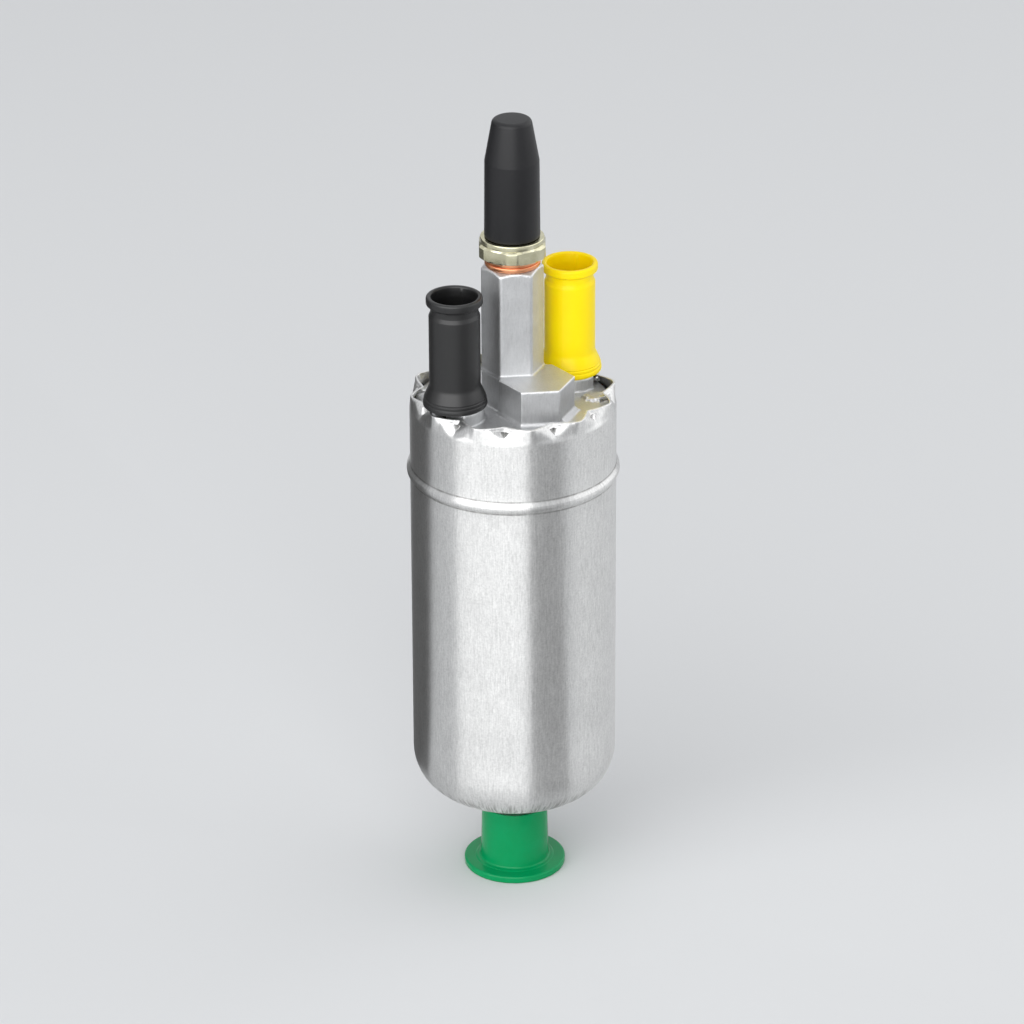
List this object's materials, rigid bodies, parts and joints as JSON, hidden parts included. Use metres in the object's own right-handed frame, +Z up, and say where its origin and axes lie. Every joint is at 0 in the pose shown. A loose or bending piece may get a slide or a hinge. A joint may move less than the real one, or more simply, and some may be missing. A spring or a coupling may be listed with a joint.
{
  "type": "electric fuel pump",
  "caption": "In-line electric roller-cell fuel pump in a crimped round can, with a threaded inlet, a check-valve outlet, two terminal studs and pull-off transport caps.",
  "frame": {"origin": "middle of the green inlet cap's underside, on the pump's axis, where the pump stands", "axes": "+Z up along the pump's axis to the outlet, +X from the black terminal boot to the yellow one, the cover's low hexagon at -Y"},
  "size_m": [0.062, 0.062, 0.239],
  "materials": {
    "can_aluminium": "bright drawn aluminium with a fine vertical grain",
    "cast_aluminium": "matt die-cast aluminium, brushed on the flats",
    "inlet_steel": "bright zinc-plated turned steel",
    "valve_zinc": "yellow-passivated zinc on turned steel",
    "stud_steel": "yellow-passivated zinc",
    "copper": "soft annealed copper, matt",
    "winding_copper": "varnished copper wire",
    "commutator_copper": "turned copper",
    "contact_brass": "stamped brass",
    "bush_bronze": "porous sintered bronze",
    "sintered_steel": "dull sintered steel, ground faces",
    "ground_steel": "ground steel",
    "polished_steel": "polished hardened steel",
    "spring_steel": "drawn spring steel",
    "dark_screw_steel": "blackened screw steel",
    "flux_steel": "phosphated steel tube",
    "laminated_steel": "laminated electrical steel",
    "magnet_ferrite": "dark hard ferrite",
    "brush_carbon": "matt carbon and copper",
    "phenolic": "brown phenolic moulding",
    "deck_plastic": "natural acetal moulding",
    "poppet_plastic": "white acetal",
    "strainer_gauze": "woven brass gauze on a thimble",
    "seal_rubber": "black fuel-resistant rubber",
    "green_plastic": "glossy green moulded polyethylene",
    "yellow_plastic": "soft glossy yellow vinyl",
    "black_plastic": "soft black vinyl with a dull sheen",
    "cap_rubber": "matt black moulded cap"
  },
  "bodies": {
    "housing": {"can": "can_aluminium", "inlet_fitting": "inlet_steel", "inlet_gasket": "seal_rubber", "inlet_strainer": "strainer_gauze", "intake_housing": "sintered_steel", "housing_seal": "seal_rubber", "cam_ring": "ground_steel", "discharge_plate": "sintered_steel", "plate_screws": "dark_screw_steel", "relief_spring": "spring_steel", "lower_bush": "bush_bronze", "flux_ring": "flux_steel", "magnets": "magnet_ferrite", "magnet_clips": "spring_steel", "upper_bush": "bush_bronze", "brush_deck": "deck_plastic", "brush_spring_left": "spring_steel", "brush_spring_right": "spring_steel", "contact_strips": "contact_brass", "end_cover": "cast_aluminium", "cover_seal": "seal_rubber", "terminal_stud_a": "stud_steel", "terminal_stud_b": "stud_steel", "terminal_bushes": "phenolic", "insulating_washers": "phenolic", "terminal_washers": "stud_steel", "terminal_nuts": "stud_steel", "copper_washer": "copper", "valve_body": "valve_zinc", "valve_spring": "spring_steel", "valve_stop": "valve_zinc"},
    "inlet_cap": {"inlet_cap": "green_plastic"},
    "armature": {"pump_rotor": "ground_steel", "shaft": "polished_steel", "armature_core": "laminated_steel", "windings": "winding_copper", "commutator_hub": "phenolic", "commutator_bars": "commutator_copper", "thrust_washer": "phenolic"},
    "roller_1": {"roller_1": "polished_steel"},
    "roller_2": {"roller_2": "polished_steel"},
    "roller_3": {"roller_3": "polished_steel"},
    "roller_4": {"roller_4": "polished_steel"},
    "roller_5": {"roller_5": "polished_steel"},
    "relief_ball": {"relief_ball": "polished_steel"},
    "brush_left": {"brush_left": "brush_carbon"},
    "brush_right": {"brush_right": "brush_carbon"},
    "boot_yellow": {"boot_yellow": "yellow_plastic"},
    "boot_black": {"boot_black": "black_plastic"},
    "valve_poppet": {"valve_poppet": "poppet_plastic"},
    "outlet_cap": {"outlet_cap": "cap_rubber"}
  },
  "joints": [
    {"name": "armature_spin", "type": "hinge", "parent": "housing", "child": "armature", "pos_m": [0, 0, 0.095], "axis": [0, 0, 1], "continuous": true},
    {"name": "roller_1_roll", "type": "hinge", "parent": "armature", "child": "roller_1", "pos_m": [0.0143, 0, 0.054], "axis": [0, 0, 1], "continuous": true},
    {"name": "roller_2_roll", "type": "hinge", "parent": "armature", "child": "roller_2", "pos_m": [0.00442, 0.0136, 0.054], "axis": [0, 0, 1], "continuous": true},
    {"name": "roller_3_roll", "type": "hinge", "parent": "armature", "child": "roller_3", "pos_m": [-0.01157, 0.00841, 0.054], "axis": [0, 0, 1], "continuous": true},
    {"name": "roller_4_roll", "type": "hinge", "parent": "armature", "child": "roller_4", "pos_m": [-0.01157, -0.00841, 0.054], "axis": [0, 0, 1], "continuous": true},
    {"name": "roller_5_roll", "type": "hinge", "parent": "armature", "child": "roller_5", "pos_m": [0.00442, -0.0136, 0.054], "axis": [0, 0, 1], "continuous": true},
    {"name": "outlet_cap_pull", "type": "slide", "parent": "housing", "child": "outlet_cap", "axis": [0, 0, 1], "range_m": [0, 0.026]},
    {"name": "boot_yellow_pull", "type": "slide", "parent": "housing", "child": "boot_yellow", "axis": [0, 0, 1], "range_m": [0, 0.025]},
    {"name": "boot_black_pull", "type": "slide", "parent": "housing", "child": "boot_black", "axis": [0, 0, 1], "range_m": [0, 0.025]},
    {"name": "inlet_cap_pull", "type": "slide", "parent": "housing", "child": "inlet_cap", "axis": [0, 0, -1], "range_m": [0, 0.022]},
    {"name": "valve_lift", "type": "slide", "parent": "housing", "child": "valve_poppet", "axis": [0, 0, 1], "range_m": [0, 0.003], "stiffness_N_per_m": 300, "springref_m": -0.004, "deforming": ["valve_spring"]},
    {"name": "relief_lift", "type": "slide", "parent": "housing", "child": "relief_ball", "axis": [0, 0, -1], "range_m": [0, 0.0015], "stiffness_N_per_m": 2000, "springref_m": -0.0036, "deforming": ["relief_spring"]},
    {"name": "brush_left_slide", "type": "slide", "parent": "housing", "child": "brush_left", "axis": [0, 0, 1], "range_m": [0, 0.002], "stiffness_N_per_m": 400, "springref_m": -0.004, "deforming": ["brush_spring_left"]},
    {"name": "brush_right_slide", "type": "slide", "parent": "housing", "child": "brush_right", "axis": [0, 0, 1], "range_m": [0, 0.002], "stiffness_N_per_m": 400, "springref_m": -0.004, "deforming": ["brush_spring_right"]}
  ],
  "couplings": [
    {"joint": "roller_1_roll", "follows": "armature_spin", "ratio": -5.5211},
    {"joint": "roller_2_roll", "follows": "armature_spin", "ratio": -5.5211},
    {"joint": "roller_3_roll", "follows": "armature_spin", "ratio": -5.5211},
    {"joint": "roller_4_roll", "follows": "armature_spin", "ratio": -5.5211},
    {"joint": "roller_5_roll", "follows": "armature_spin", "ratio": -5.5211}
  ]
}
